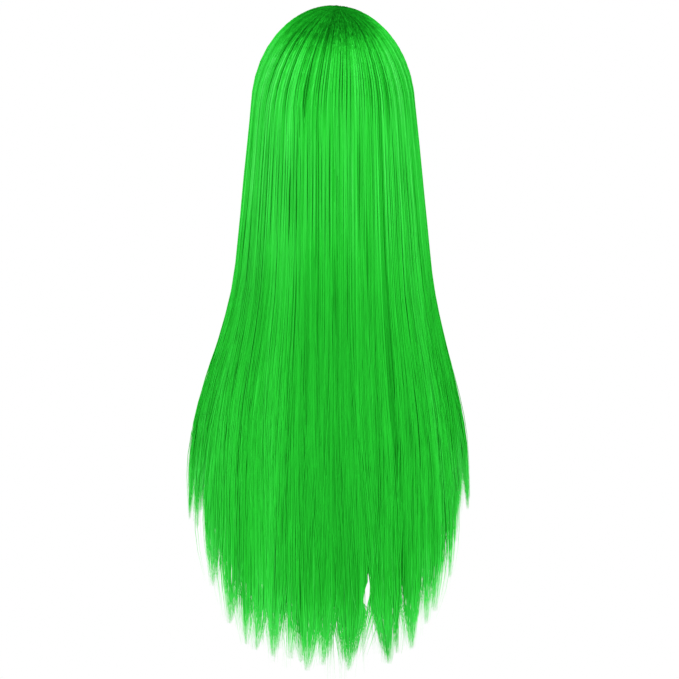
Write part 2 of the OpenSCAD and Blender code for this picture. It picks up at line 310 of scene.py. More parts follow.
# ---- The hair's form -----------------------------------------------------------------------------
FLARE = 0.10                        # how much the sides widen for each metre down
SPREAD_LEFT, SPREAD_RIGHT = 0.029, 0.020    # how much more they widen behind the shoulders
SPREAD_Z, SPREAD_OVER = -0.190, 0.205       # where that begins, and over what height
TUCK = 0.020                        # how far the ends turn in again
TUCK_Z, TUCK_OVER = -0.420, 0.250
LEAN, THINNING = 0.012, 0.030       # how the hanging hair leans back and thins, for each metre
RIM_Z, FOOT_Z = -0.006, -0.780      # where the paths begin to hang, and where they end
TABLE_STEP = 0.005                  # arc length between two points of a path
TABLE_LENGTH = 0.90


def hang_x(z, side):
    """Distance from the middle: side runs from -1, the wearer's right, to 1. The middle hangs
    straight down, and the sides widen."""
    spread = mix(SPREAD_RIGHT, SPREAD_LEFT, (side + 1) / 2)
    widening = spread * smooth((SPREAD_Z - z) / SPREAD_OVER) - FLARE * z
    widening = widening - TUCK * smooth((TUCK_Z - z) / TUCK_OVER)
    return HALF * side + widening * side * np.abs(side)


def hang_at(phi, z):
    """The hanging hair's outside at an angle from the back, in radians, and a height."""
    side = np.sin(phi)
    x = hang_x(z, side)
    y = -LEAN * z + (BACK + THINNING * z) * np.cos(phi)
    return np.stack([x, y, np.broadcast_to(z, x.shape)], -1)


def path_table(phis, hang_phis):
    """The hair's outside as paths from the whorl over the cap and down, one for each phi.

    Returns points and outward normals, spaced evenly along each path."""
    whorl = np.array([WHORL[0] / HALF, WHORL[1] / BACK, 0.0])
    whorl[2] = math.sqrt(1 - (whorl**2).sum())
    points = []
    along = np.arange(0, TABLE_LENGTH, TABLE_STEP)
    for phi, hang_phi in zip(np.radians(phis), np.radians(hang_phis)):
        t = np.linspace(0, 1, 60)
        turned = mix(phi, hang_phi, smooth((t - 0.45) / 0.55))
        rim = np.stack([np.sin(turned), np.cos(turned), np.zeros_like(t)], -1)
        angle = np.arccos(np.clip(rim @ whorl, -1, 1))
        over = (
            np.sin((1 - t) * angle)[:, None] * whorl + np.sin(t * angle)[:, None] * rim
        ) / np.sin(angle)[:, None]
        z = np.linspace(RIM_Z, FOOT_Z, 140)
        hanging = hang_at(np.full_like(z, hang_phi), z)
        path = np.concatenate([over * (HALF, BACK, TOP), hanging])
        run = np.concatenate([[0], np.linalg.norm(np.diff(path, axis=0), axis=1).cumsum()])
        path = np.stack([np.interp(along, run, path[:, k]) for k in range(3)], -1)
        for _ in range(8):
            path[8:-1] = (path[7:-2] + 2 * path[8:-1] + path[9:]) / 4
        points.append(path)
    points = np.array(points)
    down = np.gradient(points, axis=1)
    across = np.gradient(points, axis=0)
    across[:, :4] = across[:, 4:5]
    normals = unit(np.cross(down, across))
    flip = np.sign((normals * (points - (0, 0, -0.02)) * (1, 1, 0)).sum(-1, keepdims=True))
    flip[:, :8] = np.sign(normals[:, :8, 2:3])
    return points, normals * np.where(flip == 0, 1, flip)


class Field:
    """A family of hair paths between two angles over the cap."""

    def __init__(self, low, high, hang):
        self.low, self.step = low, 1.0
        self.phis = np.arange(low, high + 0.5, self.step)
        self.hang = hang
        self.points, self.normals = path_table(self.phis, hang(self.phis))

    def look_up(self, table, phi, run):
        row = np.clip((phi - self.low) / self.step, 0, len(self.phis) - 1.001)
        col = np.clip(run / TABLE_STEP, 0, table.shape[1] - 1.001)
        i, j = row.astype(int), col.astype(int)
        a, b = (row - i)[..., None], (col - j)[..., None]
        return (
            table[i, j] * (1 - a) * (1 - b)
            + table[i + 1, j] * a * (1 - b)
            + table[i, j + 1] * (1 - a) * b
            + table[i + 1, j + 1] * a * b
        )

    def run_to(self, phi, z):
        """The arc length at which each strand's path has come down to a height."""
        row = np.clip(np.rint((phi - self.low) / self.step).astype(int), 0, len(self.phis) - 1)
        out = np.empty(len(phi))
        for r in np.unique(row):
            heights = self.points[r, :, 2]
            lowest = int(np.argmax(heights))
            which = row == r
            out[which] = np.interp(
                -z[which], -heights[lowest:], TABLE_STEP * np.arange(lowest, len(heights))
            )
        return out


def side_hang(phi):
    """Hair over the temples sweeps back to fall beside the face."""
    turn = np.abs(phi)
    back = BACK_PHI + (turn - BACK_PHI) * (FACE_PHI - BACK_PHI) / (FRINGE_PHI - BACK_PHI)
    return np.sign(phi) * np.where(turn > BACK_PHI, back, turn)


# ---- Strands -------------------------------------------------------------------------------------
RINGS_OVER, RINGS_BEND, RINGS_DOWN = 11, 4, 12    # rings over the cap, at the bend and below
OVER_RUN, BEND_RUN = 0.20, 0.33     # arc lengths that count as over the cap and the bend
SIDES = 3                           # of a strand's cross-section
FLATNESS = 0.62                     # a strand's thickness over its width
UV_COLUMNS = 320                    # strands side by side in the texture map
STRAND = (0.0009, 0.0015)           # widths of the strands
SHADE = 0.525                       # how light the hair is, from 0 to 1
CAP_PAINTED_SHEEN = 0.20                    # painted sheen: how much lighter the hair is painted over the cap
DEEP_PAINTED_SHADE = 0.28                    # painted shade among the strands: how much darker the deep strands are painted
WHORL_SHADE_RUN, WHORL_PAINTED_SHADE = 0.077, 0.56   # how far the painted shade round the whorl reaches, and how dark it is painted
TIP_RUN, TIP_PAINTED_LIGHT = 0.085, 0.56     # how long the ends are painted paler, as painted light through the thin ends, and how pale
TAPER = 0.088                       # the length that a strand narrows over
POINTED = 0.92                      # how far the strands of a lock close up at its tip
CLUMP_PLACES = (                    # where fine clumps close, how far they reach, how strongly
    (0.12, 0.12, 1.1), (0.26, 0.14, 1.20), (0.40, 0.15, 0.55), (0.56, 0.16, 0.7),
)
# A slit in the back hair near its ends: its top and foot, across and up, and its half width
SLIT = ((-0.0460, -0.5420), (-0.0345, -0.5900), 0.0046)
SLIT_PHI = -19.0                    # the slit's angle from the back
SHADED_HOLLOWS = (                         # painted shade along hollows between clumps: their angle, arc length, reach and opening
    (20.0, 0.140, 0.060, 1.1), (-7.6, 0.125, 0.060, 0.4), (-26.8, 0.130, 0.065, 0.6),
    (-40.8, 0.140, 0.075, 0.6), (33.0, 0.150, 0.050, 0.3), (-17.0, 0.230, 0.070, 0.2),
    (-1.0, 0.370, 0.080, 0.6), (12.3, 0.340, 0.060, 0.4), (29.0, 0.283, 0.070, 0.5),
    (-63.0, 0.460, 0.080, 0.6), (55.8, 0.485, 0.070, 0.4), (-22.0, 0.330, 0.070, 0.3),
    (25.0, 0.110, 0.060, 0.5),
)
PAINTED_SIDE_LIGHT = (                           # painted light and shade across the back: how much lighter, from the wearer's right to left
    (-1.0, 0.08), (-0.75, 0.03), (-0.58, 0.00), (-0.42, -0.05), (-0.25, -0.03), (-0.08, -0.11),
    (0.08, -0.10), (0.25, -0.09), (0.42, 0.00), (0.58, 0.07), (0.75, 0.11), (1.0, 0.12),
)
CLUMP_WIDTH = (1.2, 2.6)            # of the fine clumps, in degrees
WHORL_TURN = 14.0                   # how far the strands twist at the whorl, in degrees


def ring_frame(centre, out):
    """Each ring's side and out directions, square to the strand."""
    tangent = unit(np.gradient(centre, axis=1))
    side = unit(np.cross(tangent, out))
    return side, np.cross(side, tangent)


def wave(rng, run, length, size, turns):
    """Slow random drift of each strand, growing along its length."""
    total = 0
    for k in (1.0, 2.1, 3.7):
        phase = rng.uniform(0, 2 * np.pi, (len(run), 1))
        total = total + np.sin(2 * np.pi * k * turns * run / length + phase) / k
    return size * total * (0.2 + 0.8 * smooth(run / length))


def clumps(rng, phi, width):
    """Random clumps about width degrees wide: each strand's clump, and the clumps' middles."""
    edges = np.cumsum(rng.uniform(0.5, 1.5, int((np.ptp(phi) + 4 * width) / width) + 2)) * width
    edges = edges + phi.min() - 2 * width
    key = np.searchsorted(edges, phi)
    return key, np.append(edges - width / 2, edges[-1])


def ring_slit(field, phi, run):
    """Gather five rings of each strand beside the slit along it."""
    (_, top_z), (_, low_z), _ = SLIT
    middle = field.run_to(phi, np.full(phi.shape, (top_z + low_z) / 2))
    reach = (top_z - low_z) / 2
    key = np.abs(run - middle[:, None]).argmin(1)
    near = (np.abs(phi - SLIT_PHI) < 14) & (run[:, -1] > middle + reach + 0.01)
    rows = np.flatnonzero(near & (key < run.shape[1] - 3))
    for step in (-2, -1, 0, 1, 2):
        run[rows, key[rows] + step] = middle[rows] + step * reach / 2
    run.sort(axis=1)


def open_slit(rng, centre):
    """Push most strands aside where the hair near the ends opens in a slit."""
    (top_x, top_z), (low_x, low_z), half = SLIT
    t = (top_z - centre[..., 2]) / (top_z - low_z)
    gap = centre[..., 0] - mix(top_x, low_x, t)
    wide = half * np.sin(np.pi * np.clip(t, 0, 1))
    middle = np.abs(t - 0.5).argmin(1)[:, None]
    lean = np.where(np.take_along_axis(gap, middle, 1) < 0, -1, 1)
    push = lean * np.clip(wide - lean * gap, 0, 2.5 * wide)
    centre[..., 0] += push * (rng.uniform(0, 1, (len(centre), 1)) > 0.03)


def painted_side_light(phi):
    """How much lighter the hair is painted at an angle from the back: painted light and shade."""
    side = np.sin(np.radians(phi))
    return np.interp(side, *np.array(PAINTED_SIDE_LIGHT).T) * (1 - smooth((np.abs(phi) - 100) / 40))


def whorl_shade_run(phi):
    """How far the painted shade round the whorl reaches at an angle from the back."""
    turn = np.radians(phi)
    reach = WHORL_SHADE_RUN + 0.014 * np.sin(turn) + 0.006 * np.cos(turn)
    return reach - 0.024 * smooth((np.abs(phi) - 50) / 40)


def hollow_and_paint_shade(where, shade, phi, run, drawn):
    """Paint shade on the strands beside each hollow between clumps, and where drawn is 1 also move
    them apart.
    Both where and shade are changed in place."""
    for angle, middle, reach, opening in SHADED_HOLLOWS:
        off = (phi - angle)[:, None]
        near = smooth(1 - np.abs(run - middle) / reach)
        where += drawn * np.sign(off) * opening * near * smooth(1.3 - np.abs(off) / 3.5)
        shade -= 0.12 * (opening + 0.8) * near * smooth(1.2 - np.abs(off) / 2.2)


def lay_rings(first, last):
    """The arc lengths of each strand's rings, from its first to its last."""
    over = np.linspace(0, 1, RINGS_OVER)[None]
    bend = np.linspace(0, 1, RINGS_BEND + 1)[None, 1:]
    down = 1 - (1 - np.linspace(0, 1, RINGS_DOWN + 1)[None, 1:]) ** 1.4
    knee = np.clip(np.full_like(first, OVER_RUN), first + 0.02, last - 0.03)
    bent = np.clip(np.full_like(first, BEND_RUN), knee + 0.01, last - 0.02)
    return np.concatenate(
        [mix(first, knee, over), mix(knee, bent, bend), mix(bent, last, down)], 1
    )


def gather(rng, where, shade, phi, run):
    """Draw strands together in fine clumps, each with its own shade, changing where and shade in
    place. Returns how much deeper each clump lies."""
    deeper = np.zeros_like(run)
    for middle, reach, strength in CLUMP_PLACES:
        key, at = clumps(rng, phi, rng.uniform(*CLUMP_WIDTH))
        near = strength * smooth(1 - np.abs(run - middle) / reach)
        where += (at[key] - phi)[:, None] * rng.uniform(0.3, 0.75, len(at))[key][:, None] * near
        shade += rng.normal(0, 0.10, len(at))[key][:, None] * near
        deeper += rng.uniform(-0.001, 0.001, len(at))[key][:, None] * near
    return deeper


def wander(rng, run, length, share, lean, loose, deep):
    """How far each strand wanders sideways and outwards from its path. A few stray more, and a
    very few fly away."""
    each = (len(run), 1)
    drift = wave(rng, run, length, 0.0012, 1.1) + lean * smooth((share - 0.6) / 0.4)
    drift += rng.normal(0, 0.0035, each) * smooth((share - 0.5) / 0.4) * loose
    stray = rng.uniform(0, 1, each) < 0.22
    drift += stray * rng.normal(0, 0.009, each) * smooth((share - 0.5) / 0.5) * loose
    rise = wave(rng, run, length, 0.0006, 1.6)
    flyaway = rng.uniform(0, 1, each) < 0.012
    drift += flyaway * wave(rng, run, length, 0.0025, 0.6) * smooth(share * 2)
    rise = np.minimum(rise, deep + 0.0003) + (flyaway + 0.4 * stray) * 0.001 * smooth(share * 3)
    return drift, rise


def grow(rng, field, low, high, count, start, hem, depth, locks, width=STRAND, root=0.013,
         pointed=POINTED, ragged=0.022):
    """Strands of one layer of hair: their ring centres, side and out directions, half widths
    and shades. start and depth are ranges in metres, and hem(phi) is the height of the ends.
    locks is the width of a pointed lock in degrees, or the angles of the locks' tips and limits.
    root is how deep the strands begin, pointed how far a lock closes up, and ragged how much
    shorter some strands are."""
    each = (count, 1)
    phi = np.sort(rng.uniform(low, high, count))
    placed = np.ndim(locks) > 0
    if placed:
        tips, limits = locks
        lock = np.searchsorted(limits[:-1], phi)
    else:
        lock, tips = clumps(rng, phi, locks)
    size = len(tips)
    tips = np.clip(tips, low, high)
    lock_lean = rng.normal(0, 0.0035, size)[lock][:, None]
    lock_shade = rng.normal(0, 0.055, size)[lock][:, None]
    bottoms = hem(field.hang(tips)) + (0 if placed else rng.normal(0, 0.010, size))
    tip_run = field.run_to(tips, bottoms)[lock][:, None]
    tip = tips[lock][:, None]

    edge = np.abs(phi[:, None] - tip) / 5
    short = rng.exponential(ragged, each) * (rng.uniform(0, 1, each) < 0.75)
    last = tip_run - short - 0.008 * edge**1.5
    first = np.minimum(rng.uniform(*start, count)[:, None], last - 0.06)
    run = lay_rings(first, last)
    ring_slit(field, phi, run)
    length = last - first
    share = (run - first) / length
    left = last - run

    where = phi[:, None] + np.zeros_like(run)
    shade = rng.normal(0, 0.065, each) + np.zeros_like(run)
    deeper = gather(rng, where, shade, phi, run)
    shade *= mix(1.05, 0.48, smooth((run - 0.12) / 0.25))
    # each lock's own tone, the base shade, and a painted sheen that lightens the hair over the cap
    shade += lock_shade + SHADE + CAP_PAINTED_SHEEN * (1 - smooth((run - 0.24) / 0.20))
    # painted light and shade: lighter at the sides, darker in the middle of the back
    shade += painted_side_light(phi)[:, None]
    # painted shade along the hollows in every layer
    hollow_and_paint_shade(where, shade, phi, run, 1 if root < 0.01 else 0)    # only the outer layers part
    closing = rng.uniform(0.075, 0.115, size)[lock][:, None]
    spread = 1 - (1 - np.clip((tip_run - run) / closing, 0, 1)) ** 1.8
    where = tip + (where - tip) * mix(1, spread, pointed)
    where = where + WHORL_TURN * (1 - smooth(run / 0.045))
    where = np.clip(where, field.phis[0], field.phis[-1])

    deep = np.maximum(rng.uniform(*depth, each) + deeper, -0.0005)
    bedded = np.minimum(root, mix(0.0085, root, smooth((first - 0.05) / 0.10)))
    deep = mix(bedded, deep, smooth((run - first + 0.002) / 0.035))
    centre = field.look_up(field.points, where, run)
    out = unit(field.look_up(field.normals, where, run))
    side, _ = ring_frame(centre, out)
    loose = mix(1, spread, 0.75 * pointed)
    drift, rise = wander(rng, run, length, share, lock_lean, loose, deep)
    centre = centre + side * drift[..., None] + out * (rise - deep)[..., None]
    open_slit(rng, centre)
    side, out = ring_frame(centre, out)

    half = rng.uniform(*width, each) / 2
    half = half * (smooth(left / TAPER) * 0.93 + 0.07) * (0.35 + 0.65 * smooth(run / 0.05))
    # painted shade on the deeper strands
    shade = shade - DEEP_PAINTED_SHADE * smooth((deep - 0.003) / 0.012)
    # painted shade round the whorl, darkest near it
    past_whorl_shade = run - whorl_shade_run(phi)[:, None] + rng.normal(0, 0.006, each)
    shade = shade - WHORL_PAINTED_SHADE * (1 - smooth(past_whorl_shade / 0.052 + 0.5))
    # painted light through the thin ends: they are painted paler
    shade = shade + TIP_PAINTED_LIGHT * smooth(1 - left / TIP_RUN)
    return centre, side, out, half, shade


def mesh_of(name, points, quads, tris=()):
    """A smooth mesh of four-sided and three-sided faces."""
    quads, tris = np.asarray(quads, np.int32), np.asarray(tris, np.int32)
    mesh = bpy.data.meshes.new(name)
    mesh.vertices.add(len(points))
    mesh.vertices.foreach_set("co", np.asarray(points, np.float32).ravel())
    mesh.loops.add(quads.size + tris.size)
    mesh.loops.foreach_set("vertex_index", np.concatenate([quads.ravel(), tris.ravel()]))
    counts = np.repeat([4, 3], [len(quads), len(tris)])
    mesh.polygons.add(len(counts))
    firsts = np.concatenate([[0], counts.cumsum()[:-1]])
    mesh.polygons.foreach_set("loop_start", firsts.astype(np.int32))
    mesh.update(calc_edges=True)
    mesh.polygons.foreach_set("use_smooth", np.ones(len(counts), bool))
    return mesh


def strand_mesh(name, parts):
    """One mesh of closed, tapered strands, with a shade on each point."""
    centre, side, out, half, shade = (np.concatenate(p) for p in zip(*parts))
    count, rings = half.shape
    turn = 2 * np.pi * (np.arange(SIDES) + 0.25) / SIDES
    ring = (
        side[:, :, None] * (np.cos(turn)[:, None] * half[:, :, None, None])
        + out[:, :, None] * (np.sin(turn)[:, None] * FLATNESS * half[:, :, None, None])
    )
    points = (centre[:, :, None] + ring).reshape(-1, 3)
    base = (np.arange(count) * rings * SIDES)[:, None, None]
    i = np.arange(rings - 1)[None, :, None] * SIDES
    k = np.arange(SIDES)[None, None]
    k2 = (k + 1) % SIDES
    quads = np.stack(
        [base + i + k, base + i + k2, base + i + SIDES + k2, base + i + SIDES + k], -1
    ).reshape(-1, 4)
    starts = base[:, 0] + np.arange(SIDES)[::-1]
    ends = base[:, 0] + (rings - 1) * SIDES + np.arange(SIDES)
    mesh = mesh_of(name, points, quads, np.concatenate([starts, ends]))
    attribute = mesh.attributes.new("shade", "FLOAT", "POINT")
    attribute.data.foreach_set("value", np.repeat(shade.ravel(), SIDES).astype(np.float32))
    add_strand_map(mesh, count, rings)
    return mesh


def add_strand_map(mesh, count, rings):
    """A texture map, OFBake, with a narrow upright strip for each strand."""
    rows = -(-count // UV_COLUMNS)
    strand = np.arange(count)
    left = (strand % UV_COLUMNS) / UV_COLUMNS
    foot = (strand // UV_COLUMNS) / rows
    k = np.arange(SIDES)
    i = np.arange(rings - 1)
    u = np.stack([k, k + 1, k + 1, k], -1) / SIDES / UV_COLUMNS
    v = np.stack([i, i, i + 1, i + 1], -1) / (rings - 1) / rows * 0.98
    grid = np.empty((count, rings - 1, SIDES, 4, 2), np.float32)
    grid[..., 0] = left[:, None, None, None] + u[None, None]
    grid[..., 1] = foot[:, None, None, None] + v[None, :, None]
    corner = np.array([0.2, 0.8, 0.5]) / UV_COLUMNS
    tip = np.empty((2, count, SIDES, 2), np.float32)
    tip[..., 0] = left[:, None] + corner
    tip[0, ..., 1] = foot[:, None] + np.array([0, 0, 0.004])
    tip[1, ..., 1] = foot[:, None] + 0.98 / rows + np.array([-0.004, -0.004, 0])
    layer = mesh.uv_layers.new(name="OFBake")
    layer.data.foreach_set("uv", np.concatenate([grid.ravel(), tip.ravel()]))


# ---- The hair's layers ---------------------------------------------------------------------------
SIDE_ENDS, FACE_ENDS = -0.455, -0.495    # heights of the side hair's ends
FRINGE_ENDS, TEMPLE_ENDS = -0.010, -0.036    # heights of the fringe's ends
FRINGE_FAN = 1.34                   # how much the fringe fans out
FRINGE_OVERLAP = 5.0                # how far its roots reach under the side hair, in degrees
LOCKS_Z = -0.60                     # the height at which the locks below are laid out
# The pointed locks along the back's hem, from the wearer's right to left: where each one's tip
# is, how low it reaches, and where the next one begins
BACK_LOCKS = (
    (-0.1500, -0.460, -0.1455), (-0.1425, -0.512, -0.1355), (-0.1305, -0.553, -0.1260),
    (-0.1190, -0.592, -0.1140), (-0.1060, -0.606, -0.1010), (-0.0920, -0.634, -0.0785),
    (-0.0725, -0.638, -0.0680), (-0.0615, -0.650, -0.0385), (-0.0110, -0.657, 0.0005),
    (0.0110, -0.651, 0.0150), (0.0350, -0.657, 0.0425), (0.0475, -0.644, 0.0520),
    (0.0650, -0.643, 0.0775), (0.0900, -0.635, 0.0945), (0.1030, -0.629, 0.1075),
    (0.1220, -0.606, 0.1290), (0.1400, -0.563, 0.1475), (0.1545, -0.478, 0.1600),
)


def back_hem(phi):
    tips, ends, _ = np.array(BACK_LOCKS).T
    return np.interp(hang_x(LOCKS_Z, np.sin(np.radians(phi))), tips, ends)


def side_hem(phi):
    """The side hair follows the back's hem to the ears, and is lowest beside the face."""
    turn = np.abs(phi)
    beside_face = mix(SIDE_ENDS, FACE_ENDS, smooth((turn - 92) / 33))
    return np.where(turn < 90, back_hem(phi), beside_face)


def phi_at(x):
    """The angle from the back at which the hair near its ends is x from the middle."""
    sides = np.linspace(-1, 1, 201)
    return np.degrees(np.arcsin(np.interp(x, hang_x(LOCKS_Z, sides), sides)))


def fringe_hem(phi):
    return mix(FRINGE_ENDS, TEMPLE_ENDS, smooth((np.abs(phi - 180) - 24) / 22))


def fringe_hang(phi):
    """The fringe fans out to meet the side hair at the temples."""
    return 180 + (phi - 180) * FRINGE_FAN


def add_piece(name, parts, material):
    piece = bpy.data.objects.new(name, strand_mesh(name, parts))
    bpy.context.scene.collection.objects.link(piece)
    piece.data.materials.append(material)
    return piece


def bend_from_cap(piece):
    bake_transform(piece)


def make_hair():
    material = hair_material()
    body = Field(-FRINGE_PHI, FRINGE_PHI, side_hang)
    fringe_span = FRINGE_PHI - FRINGE_OVERLAP, 360 - FRINGE_PHI + FRINGE_OVERLAP
    front = Field(*fringe_span, fringe_hang)
    rng = np.random.default_rng(7)

    def layer(low, high, count, start, hem, depth, locks, raised=0.0, root=0.013, **loose):
        return grow(
            rng, body, low, high, count, start, lambda phi: hem(phi) + raised, depth, locks,
            root=root, **loose,
        )

    edge = BACK_PHI
    tips, _, limits = np.array(BACK_LOCKS).T
    locks = np.stack([phi_at(tips), phi_at(limits)])
    top = (0.0, 0.02)
    outer = (-0.001, 0.0025)
    left_locks, right_locks = locks[:, tips > 0], locks[:, tips < 0]
    backs = {
        "back_hair_outer_left": [
            layer(-1.5, edge, 1250, top, back_hem, outer, left_locks, root=0.001)
        ],
        "back_hair_outer_right": [
            layer(-edge, 1.5, 1250, top, back_hem, outer, right_locks, root=0.001)
        ],
        "back_hair_middle": [
            layer(-edge, edge, 1250, (0.02, 0.15), back_hem, (0.002, 0.008), locks, 0.008)
        ],
        "back_hair_inner": [
            layer(-edge, edge, 1100, (0.12, 0.21), back_hem, (0.007, 0.013), 8.0, 0.052)
        ],
        "back_hair_wisps": [
            layer(
                -edge, edge, 720, (0.06, 0.20), back_hem, (0.001, 0.008), 3.0, 0.003,
                width=(0.0004, 0.0008), pointed=0.40, ragged=0.030,
            )
        ],
    }
    for name, parts in backs.items():
        piece = add_piece(name, parts, material)
        bend_from_cap(piece)
        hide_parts("back_hair", "back_length", "crown_hair")
    for side, sign in (("left", 1), ("right", -1)):
        span = sorted((sign * edge, sign * FRINGE_PHI))
        parts = {
            f"side_hair_outer_{side}": [layer(*span, 1200, top, side_hem, outer, 8.0, root=0.001)],
            f"side_hair_inner_{side}": [
                layer(*span, 1120, (0.05, 0.17), side_hem, (0.003, 0.012), 7.0, 0.02)
            ],
        }
        for name, grown in parts.items():
            piece = add_piece(name, grown, material)
            bend_from_cap(piece)
            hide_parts(f"side_hair_{side}", f"side_length_{side}")
    bangs = grow(
        rng, front, *fringe_span, 1240, (0.0, 0.05), fringe_hem, (-0.001, 0.005), 4.0,
        root=0.001, pointed=0.75, ragged=0.008,
    )
    piece = add_piece("fringe_hair", [bangs], material)
    bend_from_cap(piece)
    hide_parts("fringe")


# ---- The cap -------------------------------------------------------------------------------------
EAR_Z, HAIRLINE_Z, NAPE_Z = 0.006, 0.050, net_low[2]
NET_PITCH, YARN = 0.0044, 0.0011    # from hole to hole, and how wide the net's yarn is
NET_EDGE = 0.0036                   # from the cap's edge up to the middle of the lowest holes
SEAM = -0.0018                      # how far inside the net the bands' faces lie
THREAD = 0.00022                    # half of a thread's width


def edge_z(turn):
    """Height of the cap's edge, at an angle from the back."""
    turn = np.abs((turn + 180) % 360 - 180)
    low = mix(NAPE_Z, EAR_Z, smooth((turn - 45) / 43))
    return low + (HAIRLINE_Z - EAR_Z) * smooth((turn - 118) / 47)


def cap_theta(z):
    """The angle from the crown at which the cap has a height."""
    return np.degrees(np.arccos(z / CAP[2]))


def cap_at(turn, theta, off):
    """A point on the cap, off being the distance out from its inside."""
    turn, theta = np.radians(turn), np.radians(theta)
    direction = [np.sin(theta) * np.sin(turn), np.sin(theta) * np.cos(turn), np.cos(theta)]
    return (CAP + off) * np.stack(np.broadcast_arrays(*direction), -1)


def on_cap(flat, off):
    """The point on the cap for a point of a flat map that keeps areas, from the crown out."""
    theta = 2 * np.degrees(np.arcsin(np.linalg.norm(flat, axis=-1) / 2 / CAP.mean()))
    return cap_at(np.degrees(np.arctan2(flat[..., 0], flat[..., 1])), theta, off)


def net_holes():
    """The middles of the net's holes on the flat map, as far as the cap's edge."""
    radius = CAP.mean()
    reach = int(2 * radius / NET_PITCH)
    q, r = (a.ravel() for a in np.meshgrid(*[np.arange(-reach, reach + 1)] * 2))
    middle = np.stack([q + r / 2, r * math.sqrt(3) / 2], -1) * NET_PITCH
    middle = middle[np.linalg.norm(middle, axis=1) < 1.9 * radius]
    turns = np.degrees(np.arctan2(middle[:, 0], middle[:, 1]))
    return middle[on_cap(middle, 0)[:, 2] > edge_z(turns) + NET_EDGE]


def net_mesh():
    """The net as a closed mesh: rims of yarn round hexagonal holes, even over the dome."""
    middle = net_holes()
    spokes = np.radians(30 + 60 * np.arange(6))
    rim = np.stack([np.cos(spokes), np.sin(spokes)], -1) * NET_PITCH / math.sqrt(3)
    corners = middle[:, None] + rim
    holes = middle[:, None] + rim * (1 - YARN / NET_PITCH)
    grid = np.round(corners.reshape(-1, 2) / NET_PITCH * 100).astype(int)
    _, pick, index = np.unique(grid, axis=0, return_index=True, return_inverse=True)
    shared = corners.reshape(-1, 2)[pick]
    index = index.reshape(-1, 6)
    count, n = len(shared), len(middle) * 6
    flat = np.concatenate([shared, holes.reshape(-1, 2)] * 2)
    points = np.concatenate([on_cap(flat[: count + n], NET_T), on_cap(flat[: count + n], 0)])
    hole = count + np.arange(n).reshape(-1, 6)
    after = np.roll(np.arange(6), -1)
    below = count + n
    top = np.stack([index, index[:, after], hole[:, after], hole], -1).reshape(-1, 4)
    wall = np.stack([hole, hole[:, after], hole[:, after] + below, hole + below], -1)
    sides = np.stack([index, index[:, after]], -1).reshape(-1, 2)
    _, back, times = np.unique(np.sort(sides, 1), axis=0, return_inverse=True, return_counts=True)
    open_sides = sides[times[back.ravel()] == 1]
    rims = np.concatenate([open_sides, open_sides[:, ::-1] + below], 1)
    quads = np.concatenate([top[:, ::-1], top + below, wall.reshape(-1, 4)[:, ::-1], rims])
    mesh = mesh_of("cap_net_mesh", points, quads)
    mesh.polygons.foreach_set("use_smooth", np.zeros(len(quads), bool))
    layer = mesh.uv_layers.new(name="OFBake")
    layer.data.foreach_set("uv", (flat[quads.ravel()] / CAP.mean() / 4 + 0.5).ravel())
    return mesh


def make_net():
    net = bpy.data.objects.new("cap_net_mesh", net_mesh())
    bpy.context.scene.collection.objects.link(net)
    yarn = yarn_material("net_yarn", (0.010, 0.010, 0.012), (0.035, 0.035, 0.040))
    net.data.materials.append(yarn)
    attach(net, "cap")
    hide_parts("cap_net")


def stitches(points, normals, cover=1.0):
    """Threads from each point to the next, standing off a surface along its normals."""
    a, b = points[:-1, None], points[1:, None]
    t = np.linspace(0, 1, 4)[None, :, None]
    out = np.repeat(normals[:-1, None], 4, 1)
    centre = a + (b - a) * t * cover + out * 0.0003 * np.sin(np.pi * t)
    side, _ = ring_frame(centre, out)
    half = np.full(centre.shape[:2], THREAD)
    return centre, side, out, half, np.full(centre.shape[:2], 0.5)


def cap_stitches(turns, thetas, off=SEAM, cover=1.0):
    """Stitches over the cap's inside, through the given angles."""
    points = cap_at(turns, thetas, off)
    return stitches(points, unit(-points / CAP**2), cover)


def zigzag(low, high, height, step=1.5):
    """A zigzag seam along the cap's edge, at a height above it."""
    turns = np.arange(low, high, step)
    heights = edge_z(turns) + height + 0.0018 * (np.arange(len(turns)) % 2)
    return cap_stitches(turns, cap_theta(heights))


def overlock():
    """Thread looped round the net's raw edge, all the way round: in, down, out and up again."""
    turns = np.arange(0, 360, 0.36)
    corner = np.arange(len(turns)) % 4
    heights = edge_z(turns) + np.array([0.0042, 0.0008, 0.0042, 0.0008])[corner]
    off = np.array([-0.0004, 0.0, NET_T + 0.0004, NET_T])[corner, None]
    return cap_stitches(turns, cap_theta(heights), off)


def ribbon_seams(turn, top, low_z, width=0.014):
    """Two rows of running stitches down a ribbon."""
    rows = []
    for side in (-1, 1):
        theta = np.arange(top + 1, cap_theta(low_z) - 1, 1.6)
        across = side * (width / 2 - 0.0014) / (CAP[0] * np.sin(np.radians(theta)))
        rows.append(cap_stitches(turn + np.degrees(across), theta, cover=0.6))
    return rows


FRONT_BAND, SIDE_BAND = (126, 234), (66, 119)    # the bands' ends, in degrees from the back


def make_seams(material):
    """The threads that hold the bands and the ribbons to the net, and the net's sewn edge."""
    rows = [zigzag(*FRONT_BAND, 0.002), zigzag(*FRONT_BAND, 0.0165), overlock()]
    for side in (-1, 1):
        band = sorted(side * end for end in SIDE_BAND)
        rows += [zigzag(*band, 0.002), zigzag(*band, 0.006)]
        rows += ribbon_seams(side * 38, 27, NAPE_Z + 0.025)
        rows += ribbon_seams(side * 90, 17, EAR_Z + 0.012)
    rows += ribbon_seams(180, 17, HAIRLINE_Z + 0.022)
    rows += ribbon_seams(0, 17, NAPE_Z + 0.025)
    seams = add_piece("cap_seams", rows, material)
    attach(seams, "cap")


TAB_PLACE = np.array([0.071, -0.037, 0.002])    # the middle of the left ear tab's top
TAB_TURN = math.radians(18)
TAB_W, TAB_H, TAB_TIP_R, TAB_T = 0.030, 0.034, 0.007, 0.0012    # width, height, tip, thickness


